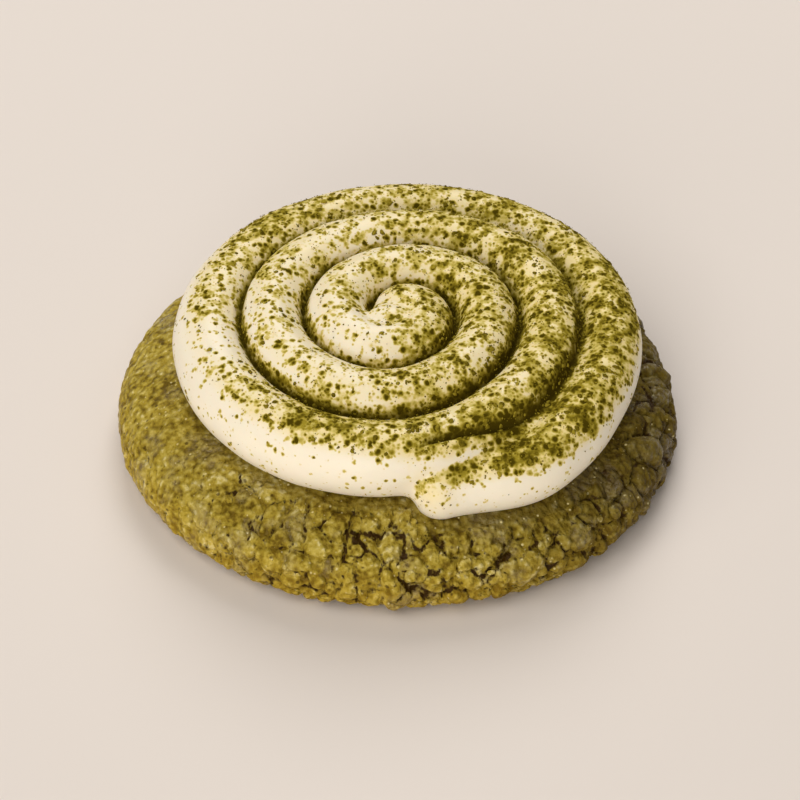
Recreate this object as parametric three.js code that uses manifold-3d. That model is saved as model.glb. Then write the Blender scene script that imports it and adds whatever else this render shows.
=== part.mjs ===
// A large, soft-baked matcha crumble cookie with a rope of cream piped on it in a spiral.
// The cookie is a low oval dome with a flat underside and a craggy skin of baked crumbs.
// The cream is one round rope, laid from a blunt tail at the front edge inwards to the middle.
// Its turns touch and run together, it has settled a little on the dome, and the largest
// clumps of the matcha powder that was sifted over it stand on its upper side.
//
// Millimetres, +Z up. The origin is the middle of the flat underside. The front, where the
// rope's tail lies, faces -Y.

import * as THREE from "three";
import { mergeVertices } from "three/addons/utils/BufferGeometryUtils.js";
import Module from "manifold-3d";

// Cookie
const COOKIE_WIDTH = 112; // across X, at its widest
const COOKIE_DEPTH = 104.5; // across Y
const BELLY_HEIGHT = 4.5; // of the widest level above the underside
const DOME_RISE = 16.4; // from the widest level to the top
const DOME_POWER = 2.55; // of the superellipse: 2 is an ellipse, more is flatter with a rounder shoulder
const UNDERSIDE_SHARE = 0.84; // the flat underside's radius as a share of the widest radius
const FRONT_BULGE = 0.9; // how far the baked outline stands out of its oval at the right front
const FRONT_BULGE_ANGLE = THREE.MathUtils.degToRad(-52);
const FRONT_BULGE_WIDTH = 0.5; // radians to either side
const COOKIE_SECTORS = 132;

// Baked crumbs on the cookie's skin
const CRUMB_ROWS = 5;
const CRUMB_COLUMNS = 50;
const CRUMB_SLOPES = [-55, 64].map(THREE.MathUtils.degToRad); // of the lowest and highest row
const CRUMB_STRAY = 0.42; // out of its row and column, in steps of them
const CRUMB_SIZE = [0, 1.6]; // by how much the larger ones crowd the smaller
const CRUMB_HEIGHT = [0.7, 1.7];
const CRACK_DEPTH = 1.2;
const CRACK_WIDTH = 1.7; // from its middle to a crumb's full height
const CALM_ANGLE = THREE.MathUtils.degToRad(172); // the smoothest side of the skin faces left
const CALM_SHARE = 0.5; // of the full relief, there

// Cream rope
const ROPE_WIDTH = 13.9;
const ROPE_HEIGHT = 14.8; // of the whole round section, before the cookie flattens its underside
const ROPE_SWELL = 0.08; // how much thicker the outer turns are on the left than on the right
const ROPE_SIDES = 14;
const CREAM_GAP = 0.42; // kept between the cream and the cookie
const SETTLED = 2.0; // how deep the rope would reach into the cookie at the middle
const EDGE_DROP = 4.8; // how much lower the rope's centre lies at EDGE_DROP_RADIUS
const EDGE_DROP_RADIUS = 43;
const EDGE_DROP_POWER = 3.6;

// Spiral, from the tail inwards, anticlockwise seen from above
const TAIL_ANGLE = THREE.MathUtils.degToRad(-78);
const TURNS = 3.38;
const TAIL_RADIUS = 45.2; // before the tail's tuck
const PITCH = 11.5; // between neighbouring turns, at the tail
const PITCH_GROWTH = 0.29; // by which each further turn is wider apart
const OVAL_WANDER = 1.45; // how far the turns stray from a true spiral, twice round
const OVAL_PHASE = 1.675;
const TRIPLE_WANDER = 0.78; // and three times round
const TRIPLE_PHASE = 1.977;
const TAIL_TUCK = 5.5; // how far the tail's end is drawn in against the next turn
const TAIL_SAG = 3; // and how far it sinks
const TAIL_TAPER = 0.14; // the share by which it is thinner
const TAIL_LENGTH = 28 / 360; // in turns
const CURL_BULB_PLACE = [-0.8, -2.6];
const CURL_BULB_SIZE = [8.5, 6.4, 7.3];

// Matcha clumps
const CLUMPS = 56;
const CLUMP_RADIUS = [0.65, 1.15];
const CLUMP_SPREAD = THREE.MathUtils.degToRad(52); // from the rope's crown to either side

const WIDE = COOKIE_WIDTH / 2;
const OVAL = COOKIE_DEPTH / COOKIE_WIDTH;
const MIDDLE_HEIGHT = BELLY_HEIGHT + DOME_RISE - SETTLED + ROPE_HEIGHT / 2; // of the rope's centre
const TURN = 2 * Math.PI;

const mix = (range, share) => range[0] + (range[1] - range[0]) * share;
const fraction = (x) => x - Math.floor(x);
const scatter = (index, salt) => fraction(Math.sin(index * 12.9898 + salt * 78.233) * 43758.5453);

// ---------------------------------------------------------------- solids

const wasm = await Module();
wasm.setup();

function toSolid(geometry) {
  const bare = geometry.clone();
  bare.deleteAttribute("normal");
  bare.deleteAttribute("uv");
  const merged = mergeVertices(bare, 1e-4);
  return new wasm.Manifold(
    new wasm.Mesh({
      numProp: 3,
      vertProperties: merged.attributes.position.array,
      triVerts: new Uint32Array(merged.index.array),
    }),
  );
}

// The solid without the slivers that a join can leave beside or inside it.
function largestPiece(solid) {
  return solid.decompose().reduce((best, piece) => (piece.volume() > best.volume() ? piece : best));
}

function toGeometry(solid) {
  const { vertProperties, triVerts } = solid.getMesh();
  const geometry = new THREE.BufferGeometry()
    .setAttribute("position", new THREE.BufferAttribute(vertProperties, 3))
    .setIndex(new THREE.BufferAttribute(triVerts, 1));
  geometry.computeVertexNormals();
  return geometry;
}

// ---------------------------------------------------------------- spiral of cream

// The rope's centre line, thickness and direction after so many turns from the tail.
function ropeAt(turns) {
  const angle = TAIL_ANGLE + turns * TURN;
  const outer = 1 - turns / TURNS;
  const tail = Math.exp(-((turns / TAIL_LENGTH) ** 2));
  const radius =
    TAIL_RADIUS -
    PITCH * turns -
    PITCH_GROWTH * turns ** 2 +
    outer * OVAL_WANDER * Math.cos(2 * angle - OVAL_PHASE) +
    outer * TRIPLE_WANDER * Math.cos(3 * angle - TRIPLE_PHASE) -
    tail * TAIL_TUCK;
  const drop = EDGE_DROP * (Math.max(radius, 0) / EDGE_DROP_RADIUS) ** EDGE_DROP_POWER;
  const centre = new THREE.Vector3(
    radius * Math.cos(angle),
    radius * Math.sin(angle),
    MIDDLE_HEIGHT - drop - tail * TAIL_SAG,
  );
  const swell = 1 - outer * ROPE_SWELL * Math.cos(angle) - tail * TAIL_TAPER;
  return { centre, radius, swell };
}

function ropeDirection(turns) {
  const step = 0.002;
  return ropeAt(turns + step).centre.sub(ropeAt(turns - step).centre).normalize();
}

// One cross-section: its centre, its two axes and its half sizes.
function ropeStation(turns, reach = 0, share = 1) {
  const { centre, swell } = ropeAt(turns);
  const forward = ropeDirection(turns);
  const side = new THREE.Vector3().crossVectors(forward, new THREE.Vector3(0, 0, 1)).normalize();
  const up = new THREE.Vector3().crossVectors(side, forward);
  return {
    centre: centre.addScaledVector(forward, reach),
    side: side.multiplyScalar((ROPE_WIDTH / 2) * swell * share),
    up: up.multiplyScalar((ROPE_HEIGHT / 2) * swell * share),
  };
}

// A point on the rope's skin. The angle is 0 at the crown and grows towards the outside.
const onStation = ({ centre, side, up }, angle) =>
  centre
    .clone()
    .addScaledVector(side, Math.sin(angle))
    .addScaledVector(up, Math.cos(angle));

// The round end of the rope: smaller and smaller sections beyond the last full one.
function roundEnd(turns, direction) {
  const rounds = [28, 52, 70, 83].map(THREE.MathUtils.degToRad);
  const { swell } = ropeAt(turns);
  return rounds.map((a) =>
    ropeStation(turns, (direction * Math.sin(a) * ROPE_WIDTH * swell) / 2, Math.cos(a)),
  );
}

// Full sections from one place to the next, closer together in turns where the spiral is wide.
function stretch(from, to) {
  const middle = ropeAt((from + to) / 2).radius;
  const spacing = 2.4 + middle * 0.095;
  const length = (to - from) * TURN * Math.max(middle, 4);
  const steps = Math.ceil(length / spacing);
  return Array.from({ length: steps + 1 }, (_, i) => ropeStation(from + ((to - from) * i) / steps));
}

// A closed tube through a row of stations, bent from a plain cylinder.
function tube(stations) {
  const rows = stations.length - 1;
  const geometry = new THREE.CylinderGeometry(1, 1, 1, ROPE_SIDES, rows);
  const position = geometry.attributes.position;
  for (let i = 0; i < position.count; i++) {
    const station = stations[Math.round((0.5 - position.getY(i)) * rows)];
    const x = position.getX(i);
    const z = position.getZ(i);
    const point = station.centre
      .clone()
      .addScaledVector(station.side, -x)
      .addScaledVector(station.up, z);
    position.setXYZ(i, point.x, point.y, point.z);
  }
  return toSolid(geometry);
}

// The curl in the middle runs together into one soft bulb.
function curlBulb() {
  const bulb = new THREE.SphereGeometry(1, 14, 8)
    .rotateX(Math.PI / 2)
    .scale(...CURL_BULB_SIZE)
    .translate(...CURL_BULB_PLACE, MIDDLE_HEIGHT);
  return toSolid(bulb);
}

// The rope in stretches that don't meet themselves, so that joining them fuses touching turns.
function ropeSolid() {
  const cuts = [0, 0.6, 1.2, 1.8, 2.4, 2.8, 3.15, TURNS];
  let rope;
  for (let i = 0; i < cuts.length - 1; i++) {
    const stations = stretch(cuts[i], cuts[i + 1]);
    if (i === 0) stations.unshift(...roundEnd(0, -1).reverse());
    if (i === cuts.length - 2) stations.push(...roundEnd(TURNS, 1));
    const piece = tube(stations);
    rope = rope ? rope.add(piece) : piece;
  }
  return largestPiece(rope.add(curlBulb()));
}

// How much powder fell there: most on the right and towards the front right.
function dusting(point) {
  const along = Math.cos(Math.atan2(point.y, point.x) - THREE.MathUtils.degToRad(-20));
  return 0.45 + 0.55 * Math.max(along, 0);
}

// Low, uneven clumps of powder, half sunk in the rope's upper side.
function clumpSolids() {
  const clumps = [];
  for (let i = 0; clumps.length < CLUMPS; i++) {
    const turns = TURNS * (1 - Math.sqrt(scatter(i, 1)));
    const angle = CLUMP_SPREAD * (2 * scatter(i, 2) - 1);
    const station = ropeStation(turns);
    const point = onStation(station, angle);
    if (scatter(i, 3) > dusting(point)) continue;
    const radius = mix(CLUMP_RADIUS, scatter(i, 4) ** 2);
    const clump = new THREE.IcosahedronGeometry(radius, 0)
      .scale(1, 0.75 + 0.4 * scatter(i, 5), 0.6)
      .rotateZ(TURN * scatter(i, 6))
      .rotateY(0.4 * scatter(i, 7))
      .translate(point.x, point.y, point.z - 0.1 * radius);
    clumps.push(toSolid(clump));
  }
  return clumps;
}

// ---------------------------------------------------------------- cookie

// The dome's height above the widest level, at a share of the widest radius.
const domeRise = (share) => DOME_RISE * (1 - Math.min(share, 1) ** DOME_POWER) ** (1 / DOME_POWER);

// Half outline of the cookie, from the middle of the underside to the top: [share of radius, height].
function cookieProfile() {
  const underside = [0, UNDERSIDE_SHARE].map((share) => [share, 0]);
  const foot = [18, 36, 54, 72].map(THREE.MathUtils.degToRad).map((a) => [
    UNDERSIDE_SHARE + (1 - UNDERSIDE_SHARE) * Math.sin(a),
    BELLY_HEIGHT * (1 - Math.cos(a)),
  ]);
  const shoulder = Array.from({ length: 16 }, (_, i) => {
    const a = THREE.MathUtils.degToRad(2 + 54 * (i / 15) ** 0.95);
    return [Math.cos(a) ** (2 / DOME_POWER), BELLY_HEIGHT + DOME_RISE * Math.sin(a) ** (2 / DOME_POWER)];
  });
  const crown = [0.64, 0.42, 0].map((share) => [share, BELLY_HEIGHT + domeRise(share)]);
  return [...underside, ...foot, ...shoulder, ...crown];
}

// The rope's outer edge round the coil: the radius of the outermost turn's centre at that angle.
function coilRadius(angle) {
  const endRound = (0.65 * ROPE_WIDTH) / TAIL_RADIUS;
  const turned = angle - TAIL_ANGLE + endRound;
  return ropeAt((turned - TURN * Math.floor(turned / TURN) - endRound) / TURN).radius;
}

// A point of the smooth skin, at a slope that is 0 at the widest level and grows upwards.
function onSkin(angle, slope) {
  const foot = slope < 0;
  const power = foot ? 1 : 2 / DOME_POWER;
  const narrow = foot ? UNDERSIDE_SHARE : 0;
  const share = narrow + (1 - narrow) * Math.cos(slope) ** power;
  const rise = Math.sign(slope) * Math.abs(Math.sin(slope)) ** power;
  return new THREE.Vector3(
    WIDE * share * Math.cos(angle),
    WIDE * OVAL * share * Math.sin(angle),
    BELLY_HEIGHT + (foot ? BELLY_HEIGHT : DOME_RISE) * rise,
  );
}

// Crumbs in staggered rows round the cookie, each strayed from its row by a rule.
function crumbRows() {
  const stray = (index, salt) => CRUMB_STRAY * (2 * scatter(index, salt) - 1);
  return Array.from({ length: CRUMB_ROWS * CRUMB_COLUMNS }, (_, i) => {
    const row = Math.floor(i / CRUMB_COLUMNS);
    const column = i % CRUMB_COLUMNS;
    const angle = (TURN * (column + 0.5 * (row % 2) + stray(i, 9))) / CRUMB_COLUMNS;
    const slope = mix(CRUMB_SLOPES, (row + 0.5 + stray(i, 10)) / CRUMB_ROWS);
    return {
      place: onSkin(angle, slope),
      size: mix(CRUMB_SIZE, scatter(i, 11)),
      height: mix(CRUMB_HEIGHT, scatter(i, 12)),
    };
  });
}

// How craggy the skin is there: calmer on the left, none under the coil or on the underside.
function cragginess(point) {
  const angle = Math.atan2(point.y / OVAL, point.x);
  const calm = 0.5 + 0.5 * Math.cos(angle - CALM_ANGLE);
  const coil = coilRadius(Math.atan2(point.y, point.x));
  const bare = THREE.MathUtils.smoothstep(Math.hypot(point.x, point.y), coil + 5.4, coil + 7.8);
  const foot = THREE.MathUtils.smoothstep(point.z, 0, 2);
  return (1 - (1 - CALM_SHARE) * calm ** 2) * bare * foot;
}

// Height of the crumbs over the smooth skin. Neighbours meet in a narrow crack.
function crumbRelief(point, crumbs) {
  let nearest = { gap: Infinity };
  let next = Infinity;
  for (const crumb of crumbs) {
    const gap = point.distanceTo(crumb.place) - crumb.size;
    if (gap < nearest.gap) {
      next = nearest.gap;
      nearest = { gap, height: crumb.height };
    } else {
      next = Math.min(next, gap);
    }
  }
  const inside = Math.min((next - nearest.gap) / 2 / CRACK_WIDTH, 1);
  const relief = nearest.height * inside - CRACK_DEPTH * (1 - inside) ** 2;
  return relief * cragginess(point);
}

const outline = (angle) =>
  1 + (FRONT_BULGE / WIDE) * Math.exp(-(((angle - FRONT_BULGE_ANGLE) / FRONT_BULGE_WIDTH) ** 2));

function cookieGeometry() {
  const profile = cookieProfile().map(([share, height]) => new THREE.Vector2(WIDE * share, height));
  const geometry = new THREE.LatheGeometry(profile, COOKIE_SECTORS)
    .rotateX(Math.PI / 2)
    .scale(1, OVAL, 1);
  const position = geometry.attributes.position;
  const normal = geometry.attributes.normal;
  const crumbs = crumbRows();
  for (let i = 0; i < position.count; i++) {
    const point = new THREE.Vector3().fromBufferAttribute(position, i);
    const outward = new THREE.Vector3().fromBufferAttribute(normal, i);
    const wave = outline(Math.atan2(point.y, point.x));
    const relief = crumbRelief(point, crumbs);
    point.multiply(new THREE.Vector3(wave, wave, 1)).addScaledVector(outward, relief);
    position.setXYZ(i, point.x, point.y, Math.max(point.z, 0));
  }
  return geometry;
}

// The smooth dome raised by the gap, which hollows the cream's underside.
function domeTool() {
  const shares = [0.98, 0.94, 0.89, 0.82, 0.74, 0.62, 0.42, 0.2, 0];
  const outline = shares.map(
    (share) => new THREE.Vector2(WIDE * share, BELLY_HEIGHT + domeRise(share) + CREAM_GAP),
  );
  const floor = [0, 0.98].map((share) => new THREE.Vector2(WIDE * share, -1));
  return toSolid(
    new THREE.LatheGeometry([...floor, ...outline], 40).rotateX(Math.PI / 2).scale(1, OVAL, 1),
  );
}

// ---------------------------------------------------------------- materials and group

const bakedDough = new THREE.MeshStandardMaterial({ color: 0x7d6f2a, roughness: 0.75 });
const pipedCream = new THREE.MeshStandardMaterial({ color: 0xf1e6c8, roughness: 0.5 });

function mesh(name, geometry, material) {
  const made = new THREE.Mesh(geometry, material);
  made.name = name;
  return made;
}

function creamGeometry() {
  const rope = ropeSolid().subtract(domeTool());
  return toGeometry(clumpSolids().reduce((cream, clump) => cream.add(clump), rope));
}

const cookie = new THREE.Group();
cookie.add(mesh("cookie", toGeometry(toSolid(cookieGeometry())), bakedDough));
cookie.add(mesh("cream_spiral", creamGeometry(), pipedCream));

// The origin sits exactly below the middle of the whole, whatever the crumbs do to its outline.
const box = new THREE.Box3().setFromObject(cookie);
const middle = box.getCenter(new THREE.Vector3());
for (const { geometry } of cookie.children) geometry.translate(-middle.x, -middle.y, -box.min.z);

export default cookie;
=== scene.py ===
"""A soft-baked matcha crumble cookie with a coil of piped cream and sifted green tea powder.

The file is laid out as an add-on. Each piece has an operator, the sizes and colours that a user
would change are properties, and one panel in the 3D view's sidebar lists them. Run as a script,
it makes every piece in order. Lengths are in metres, in the frame of the CAD part, whose spiral
and crumbs follow the same rules as here.
"""

import math

import bpy
import numpy as np
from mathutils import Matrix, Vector, noise


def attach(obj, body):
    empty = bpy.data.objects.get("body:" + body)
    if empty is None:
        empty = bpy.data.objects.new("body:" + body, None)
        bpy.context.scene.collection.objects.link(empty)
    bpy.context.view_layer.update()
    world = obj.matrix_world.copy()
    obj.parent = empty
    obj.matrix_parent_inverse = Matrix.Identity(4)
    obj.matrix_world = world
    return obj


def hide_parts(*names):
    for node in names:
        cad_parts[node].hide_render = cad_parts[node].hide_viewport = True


bl_info = {
    "name": "Matcha crumble cookie",
    "version": (1, 0, 0),
    "blender": (4, 5, 0),
    "location": "View3D > Sidebar > Cookie",
    "description": "Bakes a matcha crumble cookie, pipes a coil of cream on it and sifts matcha over it",
    "category": "Add Mesh",
}

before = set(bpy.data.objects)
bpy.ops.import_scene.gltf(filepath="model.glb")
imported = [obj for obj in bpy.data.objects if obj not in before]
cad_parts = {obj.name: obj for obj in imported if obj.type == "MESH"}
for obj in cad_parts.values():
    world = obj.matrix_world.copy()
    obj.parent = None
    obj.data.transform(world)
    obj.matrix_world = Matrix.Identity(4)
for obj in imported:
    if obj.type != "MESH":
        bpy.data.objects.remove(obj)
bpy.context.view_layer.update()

MM = 0.001
TURN = 2 * math.pi

# Cookie, as in the CAD part
WIDE = 56 * MM  # half the width
OVAL = 104.5 / 112
BELLY_HEIGHT = 4.5 * MM
DOME_RISE = 16.4 * MM
DOME_POWER = 2.55
UNDERSIDE_SHARE = 0.84
FRONT_BULGE = 0.9 * MM
FRONT_BULGE_ANGLE = math.radians(-52)
FRONT_BULGE_WIDTH = 0.5  # radians
CRUMB_ROWS = 5
CRUMB_COLUMNS = 50
CRUMB_SLOPES = (math.radians(-55), math.radians(64))
CRUMB_STRAY = 0.42
CRUMB_SIZE = (0, 1.6 * MM)
CRUMB_HEIGHT = (0.7 * MM, 1.7 * MM)
CRACK_DEPTH = 1.2 * MM
CRACK_WIDTH = 1.7 * MM
CALM_ANGLE = math.radians(172)
CALM_SHARE = 0.5  # of the relief, where the skin is calmest

# Crumb too fine for the CAD part: lumps with torn cracks round them, and grains
LUMP_SIZE = 5 * MM
LUMP_STRETCH = 0.6  # width over length, as lumps are drawn out up the skin
CALM_STRETCH = 0.9
LUMP_HEIGHT = 0.85 * MM
SKIN_RADIUS = 50 * MM  # of the unrolled skin that the lumps are laid out on
SKIN_RISE = 34 * MM  # of the skin, for each radian of its slope
TORN_WIDTH = 0.4 * MM
TORN_DEPTH = 1.1 * MM
TORN_SLOPE = 0.55 * MM  # across a crack's side
TORN_PATCH = 4 * MM  # of skin with cracks of like width
GRAIN_SIZE = 1.35 * MM
GRAIN_HEIGHT = 0.42 * MM
WARP_SEED = 3
BARE_FROM, BARE_TO = 5.4 * MM, 7.8 * MM  # outside the rope's centre line, where relief sets in

# Painted shade on the dough: strongest at the right, a painted contact shadow beside the cream, and some
# higher up under the cream's overhang
SHADED_SIDE_ANGLE = math.radians(4)
CONTACT_SHADOW_WIDTH = 2.2 * MM

# Cream rope and its spiral, as in the CAD part but for the rounder end of its tail
ROPE_WIDTH = 13.9 * MM
ROPE_HEIGHT = 14.8 * MM
ROPE_SWELL = 0.08
SETTLED = 2.0 * MM
EDGE_DROP = 4.8 * MM
EDGE_DROP_RADIUS = 43 * MM
EDGE_DROP_POWER = 3.6
TAIL_ANGLE = math.radians(-78)
TURNS = 3.38
TAIL_RADIUS = 45.2 * MM
PITCH = 11.5 * MM
PITCH_GROWTH = 0.29 * MM
OVAL_WANDER = 1.45 * MM
OVAL_PHASE = 1.675
TRIPLE_WANDER = 0.78 * MM
TRIPLE_PHASE = 1.977
TAIL_SAG = 3 * MM
TAIL_LENGTH = 28 / 360  # of a turn, that sags
TIP_TUCK = 6.1 * MM
TIP_TAPER = 0.19
TIP_LENGTH = 20 / 360  # of a turn, that is tucked in and tapers
BULB_PLACE = (-0.8 * MM, -2.6 * MM)
BULB_SIZE = (8.5 * MM, 6.4 * MM, 7.3 * MM)
CLUMPS = 56
CLUMP_RADIUS = (0.65 * MM, 1.15 * MM)
CLUMP_SPREAD = math.radians(52)

# Rings of the balls that become the cookie and the rope, and the rope's corners in each ring
UNDER_RINGS, FOOT_RINGS, CROWN_RINGS = 4, 9, 10
ROPE_SIDES, ROPE_RINGS, CAP_RINGS = 48, 700, 10

# Where turns touch: deeper grooves than in the CAD part, and none where they melt together
MERGED_TURNS = 0.62
MERGED_TAIL = 0.025  # of a turn
MERGED_PLACE = (2.4 * MM, -39.5 * MM, 20.5 * MM)
MERGED_REACH = 4.6 * MM
GROOVE_WIDTH = 1.35 * MM
GROOVE_DEPTH = 2.0 * MM
WOBBLE_SIZE, WOBBLE_HEIGHT = 9 * MM, 0.25 * MM  # of the rope's uneven surface

# Powder sifted on the cream, from the photograph
SIFTED_FROM = (0.25, 0.12, 1)
DENSEST_ANGLE = math.radians(5)
POWDER_CLUSTER = 2.2 * MM
PATCHES = (  # x, y and reach in mm, and how much more of the cream powder hides there
    (-17, -28.5, 5, 0.35),
    (-10, -30.5, 4, 0.3),
    (3, -39, 3, 0.15),
    (10, -38, 3, 0.2),
    (24, -31, 6, 0.15),
    (-27, 30, 7, 0.25),
    (-26, -27, 2.2, 0.25),
    (-35, -9, 8, -0.3),
    (-2, -9, 9, -0.2),
    (-5, 44, 13, -0.2),
    (22, 42, 10, -0.12),
    (-8, 21, 6, -0.25),
    (16, -15, 8, -0.2),
    (24, -24, 6, -0.22),
    (28, 28, 9, -0.12),
    (1, 15, 8, -0.15),
    (-6, -25, 5, -0.15),
    (9, -33, 3.5, -0.3),
)
TIP_PATCH_PLACE = (6.5 * MM, -43 * MM, 23.5 * MM)
TIP_PATCH_REACH = 3.8 * MM
NOISE_SPREAD = 0.13  # of the shader's noise about its mean
STAIN_REACH = 2.2 * MM  # from a clump

COIL_CENTRE = np.array((0.068 * MM, 0.448 * MM, 0))  # from the origin, which is the whole's middle
MIDDLE_HEIGHT = BELLY_HEIGHT + DOME_RISE - SETTLED + ROPE_HEIGHT / 2

# Photograph's view
CAMERA_ELEVATION = math.radians(41)
CAMERA_DISTANCE = 0.5
SENSOR_MM = 36
PIXELS_PER_MM = 5.06  # at the coil's middle
PHOTO_PIXELS = 800
COIL_MIDDLE_PIXEL = (396.4, 328.7)


# ---------------------------------------------------------------- numbers


def mix(low, high, share):
    return low + (high - low) * share


def scatter(index, salt):
    """A value from 0 to 1 that looks random, by the CAD part's rule."""
    return np.modf(np.modf(np.sin(index * 12.9898 + salt * 78.233) * 43758.5453)[0] + 1)[0]


def smoothstep(low, high, value):
    share = np.clip((value - low) / (high - low), 0, 1)
    return share * share * (3 - 2 * share)


def unit(vectors):
    return vectors / np.maximum(np.linalg.norm(vectors, axis=-1, keepdims=True), 1e-12)


def nearness(angle, middle):
    """From 1 in the middle direction to 0 on the far side of the cookie."""
    return 0.5 + 0.5 * np.cos(angle - middle)


# ---------------------------------------------------------------- spiral


def rope_line(turns):
    """Centre, radius and thickness of the rope after so many turns from its tail."""
    turns = np.asarray(turns, float)
    angle = TAIL_ANGLE + turns * TURN
    outer = 1 - turns / TURNS
    tail = np.exp(-((turns / TAIL_LENGTH) ** 2))
    tip = np.exp(-((turns / TIP_LENGTH) ** 2))
    radius = (
        TAIL_RADIUS
        - PITCH * turns
        - PITCH_GROWTH * turns**2
        + outer * OVAL_WANDER * np.cos(2 * angle - OVAL_PHASE)
        + outer * TRIPLE_WANDER * np.cos(3 * angle - TRIPLE_PHASE)
        - tip * TIP_TUCK
    )
    drop = EDGE_DROP * (np.maximum(radius, 0) / EDGE_DROP_RADIUS) ** EDGE_DROP_POWER
    height = MIDDLE_HEIGHT - drop - tail * TAIL_SAG
    centre = np.stack([radius * np.cos(angle), radius * np.sin(angle), height], axis=-1)
    swell = 1 - outer * ROPE_SWELL * np.cos(angle) - tip * TIP_TAPER
    return centre, radius, swell


def rope_stations(turns, reach=0.0, share=1.0):
    """Centres, side axes and up axes of cross-sections, with the axes as long as the half sizes."""
    turns = np.asarray(turns, float)
    centre, _, swell = rope_line(turns)
    forward = unit(rope_line(turns + 0.002)[0] - rope_line(turns - 0.002)[0])
    side = unit(np.cross(forward, (0, 0, 1)))
    up = np.cross(side, forward)
    reach = np.broadcast_to(reach, turns.shape)[..., None]
    size = (swell * share)[..., None]
    return centre + forward * reach, side * size * ROPE_WIDTH / 2, up * size * ROPE_HEIGHT / 2


def outermost_radius(angle):
    """Radius of the outermost turn's centre in that direction."""
    end_round = 0.65 * ROPE_WIDTH / TAIL_RADIUS
    turned = angle - TAIL_ANGLE + end_round
    turned = turned - TURN * np.floor(turned / TURN) - end_round
    tail = smoothstep(-end_round, 0, turned)
    return mix(rope_line(turned / TURN + 1)[1], rope_line(turned / TURN)[1], tail)


def groove_gap(points):
    """Distance across the rope to the nearest groove between turns. Turns that merge have no
    groove between them: the curl's middle, and the tail's end with the turn that it leans on."""
    first = (np.arctan2(points[:, 1], points[:, 0]) - TAIL_ANGLE) / TURN
    laps = first[:, None] + np.arange(-1, 5)
    turns = np.clip(laps, 0, TURNS)
    away = np.linalg.norm(points[:, None, :2] - rope_line(turns)[0][..., :2], axis=2)
    away[(laps < -MERGED_TAIL) | (laps > TURNS + 1)] = 1
    nearest = np.argmin(away, axis=1)[:, None]
    same_rope = np.abs(turns - np.take_along_axis(turns, nearest, axis=1)) < MERGED_TURNS
    others = np.where(same_rope, 1, away)
    across = np.argmin(others, axis=1)[:, None]
    gap = (np.take_along_axis(others, across, axis=1) - np.take_along_axis(away, nearest, axis=1)) / 2
    outer = np.minimum(np.take_along_axis(laps, across, axis=1), np.take_along_axis(laps, nearest, axis=1))
    return (gap + GROOVE_WIDTH * (1 - smoothstep(-MERGED_TAIL, 0, outer)))[:, 0]


# ---------------------------------------------------------------- cookie's skin


def on_skin(angle, slope):
    """Points of the smooth skin. The slope is 0 at the widest level and grows upwards."""
    foot = slope < 0
    power = np.where(foot, 1, 2 / DOME_POWER)
    narrow = np.where(foot, UNDERSIDE_SHARE, 0)
    share = narrow + (1 - narrow) * np.maximum(np.cos(slope), 0) ** power
    rise = np.sign(slope) * np.abs(np.sin(slope)) ** power
    height = BELLY_HEIGHT + np.where(foot, BELLY_HEIGHT, DOME_RISE) * rise
    return np.stack([WIDE * share * np.cos(angle), WIDE * OVAL * share * np.sin(angle), height], -1)


def dome_height(points):
    """Height of the smooth dome below or above points given from the coil's centre."""
    share = np.hypot(points[:, 0], points[:, 1] / OVAL) / WIDE
    return BELLY_HEIGHT + DOME_RISE * (1 - np.minimum(share, 0.999) ** DOME_POWER) ** (1 / DOME_POWER)


def crumb_places():
    """Places, sizes and heights of the baked crumbs, in staggered rows by the CAD part's rule."""
    index = np.arange(CRUMB_ROWS * CRUMB_COLUMNS)
    row = index // CRUMB_COLUMNS
    column = index % CRUMB_COLUMNS
    stray_round = CRUMB_STRAY * (2 * scatter(index, 9) - 1)
    stray_up = CRUMB_STRAY * (2 * scatter(index, 10) - 1)
    angle = TURN * (column + 0.5 * (row % 2) + stray_round) / CRUMB_COLUMNS
    slope = mix(*CRUMB_SLOPES, (row + 0.5 + stray_up) / CRUMB_ROWS)
    return on_skin(angle, slope), mix(*CRUMB_SIZE, scatter(index, 11)), mix(*CRUMB_HEIGHT, scatter(index, 12))


def cragginess(points):
    """Share of the full relief: calmer on the left, none under the coil or on the underside."""
    angle = np.arctan2(points[:, 1] / OVAL, points[:, 0])
    calm = nearness(angle, CALM_ANGLE)
    coil = outermost_radius(np.arctan2(points[:, 1], points[:, 0]))
    bare = smoothstep(coil + BARE_FROM, coil + BARE_TO, np.hypot(points[:, 0], points[:, 1]))
    foot = smoothstep(0, 2 * MM, points[:, 2])
    return (1 - (1 - CALM_SHARE) * calm**2) * bare * foot


def cells(points, size):
    """Distance to the nearest cell centre, and how far inside its cell a point lies, in cells."""
    near = np.empty(len(points))
    inside = np.empty(len(points))
    for i, point in enumerate(points / size):
        distance = noise.voronoi(point)[0]
        near[i] = distance[0]
        inside[i] = distance[1] - distance[0]
    return near, inside


def warped(points, size, amount):
    """Points moved about by smooth noise, so that what follows them gets uneven edges."""
    noise.seed_set(WARP_SEED)
    return points + amount * np.array([noise.noise_vector(point) for point in points / size])


def calmness(points):
    """How smooth the skin baked: fully so on the left, not at all at the front and right."""
    angle = np.arctan2(points[:, 1] / OVAL, points[:, 0])
    return smoothstep(0.6, 1, nearness(angle, CALM_ANGLE))


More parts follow.
